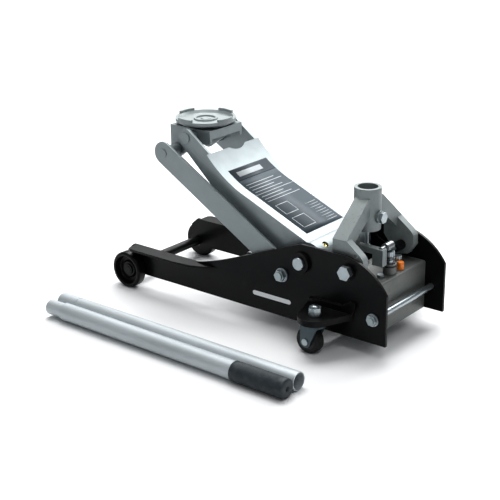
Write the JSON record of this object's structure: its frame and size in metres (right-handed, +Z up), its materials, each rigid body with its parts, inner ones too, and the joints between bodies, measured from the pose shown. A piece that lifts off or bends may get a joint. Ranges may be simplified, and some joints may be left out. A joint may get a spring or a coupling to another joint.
{
  "type": "hydraulic floor jack",
  "caption": "Hydraulic trolley jack with a parallel-linkage lift arm, swivelling saddle, steel front wheels, rear casters and a two-piece pump handle lying beside it.",
  "frame": {"origin": "on the floor, in the centre plane of the frame, 241.5 mm ahead of the caster stems", "axes": "+X forward to the saddle and front wheels, +Y to the left side where the handle lies, +Z up"},
  "size_m": [0.6495, 0.5145, 0.357],
  "materials": {
    "black_paint": "gloss black paint",
    "wheel_black": "satin black paint on steel",
    "silver_paint": "satin silver-grey paint",
    "saddle_paint": "satin grey paint on cast iron",
    "yoke_cast": "silver-painted casting",
    "unit_alloy": "grey cast and machined block",
    "zinc": "bright zinc plate",
    "steel": "machined steel",
    "steel_black": "blackened steel",
    "spring_steel": "oiled spring steel",
    "chrome_rod": "ground hard chrome",
    "caster_steel": "satin blue-grey paint on pressed steel",
    "caster_core": "moulded nylon centre",
    "tyre_rubber": "matt rubber tread",
    "seal_rubber": "black seal",
    "plug_plastic": "orange moulded plug",
    "tube_alloy": "satin drawn tube",
    "grip_rubber": "ribbed rubber"
  },
  "bodies": {
    "chassis": {"side_plate_left": "black_paint", "side_plate_right": "black_paint", "front_axle": "black_paint", "axle_retainers": "black_paint", "rear_tie_rod": "zinc", "frame_nuts": "zinc", "arm_shaft": "zinc", "shaft_collars": "black_paint", "link_pivot_bolts": "zinc", "yoke_pivot_bolts": "zinc", "yoke_pivot_bushes": "steel_black", "power_unit": "unit_alloy", "pump_cylinder": "unit_alloy", "pump_seal_ring": "seal_rubber", "filler_plug": "plug_plastic", "relief_plugs": "zinc", "ram_cylinder": "unit_alloy", "ram_gland": "steel", "wheel_spacers": "zinc", "caster_bracket_left": "black_paint", "caster_bracket_right": "black_paint", "pump_spring": "spring_steel"},
    "lift_arm": {"arm_shell": "silver_paint", "arm_hub": "silver_paint", "arm_levers": "silver_paint", "lever_pins": "steel", "saddle_pivot_pins": "silver_paint"},
    "links": {"link_bar_left": "silver_paint", "link_bar_right": "silver_paint", "link_pin": "silver_paint", "link_spacers": "silver_paint"},
    "bracket": {"saddle_bracket": "silver_paint"},
    "saddle": {"saddle": "saddle_paint", "saddle_stud": "saddle_paint"},
    "front_wheel_left": {"front_wheel_left": "wheel_black"},
    "front_wheel_right": {"front_wheel_right": "wheel_black"},
    "caster_left": {"caster_fork_left": "caster_steel", "caster_stem_left": "zinc", "caster_axle_left": "zinc"},
    "caster_right": {"caster_fork_right": "caster_steel", "caster_stem_right": "zinc", "caster_axle_right": "zinc"},
    "caster_wheel_left": {"caster_wheel_left": "caster_core", "caster_tyre_left": "tyre_rubber"},
    "caster_wheel_right": {"caster_wheel_right": "caster_core", "caster_tyre_right": "tyre_rubber"},
    "yoke": {"handle_yoke": "yoke_cast", "roller_pin": "steel"},
    "pump_roller": {"pump_roller": "steel"},
    "clamp_bolt": {"clamp_bolt": "zinc"},
    "release_rod": {"release_rod": "zinc"},
    "release_valve": {"release_valve": "zinc"},
    "pump_piston": {"pump_piston": "zinc"},
    "ram": {"ram_rod": "chrome_rod", "crosshead": "steel", "crosshead_pin": "zinc", "pull_links": "silver_paint"},
    "handle_lower": {"handle_lower_tube": "tube_alloy"},
    "handle_upper": {"handle_upper_tube": "tube_alloy", "handle_grip": "grip_rubber"}
  },
  "joints": [
    {"name": "arm_lift", "type": "hinge", "parent": "chassis", "child": "lift_arm", "pos_m": [-0.1775, 0, 0.146], "axis": [0, -1, 0], "range_deg": [-43.1, 22.3]},
    {"name": "link_swing", "type": "hinge", "parent": "chassis", "child": "links", "pos_m": [-0.134, 0, 0.112], "axis": [0, -1, 0], "range_deg": [-43.1, 22.3]},
    {"name": "bracket_level", "type": "hinge", "parent": "lift_arm", "child": "bracket", "pos_m": [0.12345, 0, 0.32469], "axis": [0, -1, 0], "range_deg": [-22.3, 43.1]},
    {"name": "saddle_turn", "type": "hinge", "parent": "bracket", "child": "saddle", "pos_m": [0.1325, 0, 0.341], "axis": [0, 0, 1], "continuous": true},
    {"name": "front_wheel_left_roll", "type": "hinge", "parent": "chassis", "child": "front_wheel_left", "pos_m": [0.2505, 0.115, 0.0375], "axis": [0, 1, 0], "continuous": true},
    {"name": "front_wheel_right_roll", "type": "hinge", "parent": "chassis", "child": "front_wheel_right", "pos_m": [0.2505, -0.115, 0.0375], "axis": [0, 1, 0], "continuous": true},
    {"name": "caster_left_swivel", "type": "hinge", "parent": "chassis", "child": "caster_left", "pos_m": [-0.2415, 0.147, 0.06], "axis": [0, 0, 1], "continuous": true},
    {"name": "caster_left_roll", "type": "hinge", "parent": "caster_left", "child": "caster_wheel_left", "pos_m": [-0.2315, 0.147, 0.025], "axis": [0, 1, 0], "continuous": true},
    {"name": "caster_right_swivel", "type": "hinge", "parent": "chassis", "child": "caster_right", "pos_m": [-0.2415, -0.147, 0.06], "axis": [0, 0, 1], "continuous": true},
    {"name": "caster_right_roll", "type": "hinge", "parent": "caster_right", "child": "caster_wheel_right", "pos_m": [-0.2315, -0.147, 0.025], "axis": [0, 1, 0], "continuous": true},
    {"name": "handle_pump", "type": "hinge", "parent": "chassis", "child": "yoke", "pos_m": [-0.2795, 0, 0.152], "axis": [0, -1, 0], "range_deg": [0, 50]},
    {"name": "roller_turn", "type": "hinge", "parent": "yoke", "child": "pump_roller", "pos_m": [-0.2975, 0, 0.174], "axis": [0, 1, 0], "continuous": true},
    {"name": "clamp_bolt_turn", "type": "hinge", "parent": "yoke", "child": "clamp_bolt", "pos_m": [-0.29, 0, 0.226], "axis": [1, 0, 0], "continuous": true},
    {"name": "release_turn", "type": "hinge", "parent": "yoke", "child": "release_rod", "pos_m": [-0.2515, 0, 0.19], "axis": [0, 0, 1], "range_deg": [0, 90]},
    {"name": "valve_turn", "type": "hinge", "parent": "chassis", "child": "release_valve", "pos_m": [-0.291, -0.0395, 0.13], "axis": [0, 0, 1], "range_deg": [0, 90]},
    {"name": "piston_stroke", "type": "slide", "parent": "chassis", "child": "pump_piston", "axis": [0, 0, -1], "range_m": [0, 0.0217], "deforming": ["pump_spring"]},
    {"name": "ram_stroke", "type": "slide", "parent": "chassis", "child": "ram", "axis": [1, 0, 0], "range_m": [-0.0435, 0.0225]},
    {"name": "handle_lower_lift", "type": "slide", "parent": "chassis", "child": "handle_lower", "axis": [0, 0, 1], "range_m": [0, 0.3]},
    {"name": "handle_upper_lift", "type": "slide", "parent": "chassis", "child": "handle_upper", "axis": [0, 0, 1], "range_m": [0, 0.3]}
  ],
  "couplings": [
    {"joint": "link_swing", "follows": "arm_lift", "ratio": 1},
    {"joint": "bracket_level", "follows": "arm_lift", "ratio": -1},
    {"joint": "ram_stroke", "follows": "arm_lift", "m_per_rad": 0.057},
    {"joint": "piston_stroke", "follows": "handle_pump", "m_per_rad": 0.024752},
    {"joint": "valve_turn", "follows": "release_turn", "ratio": 1}
  ]
}
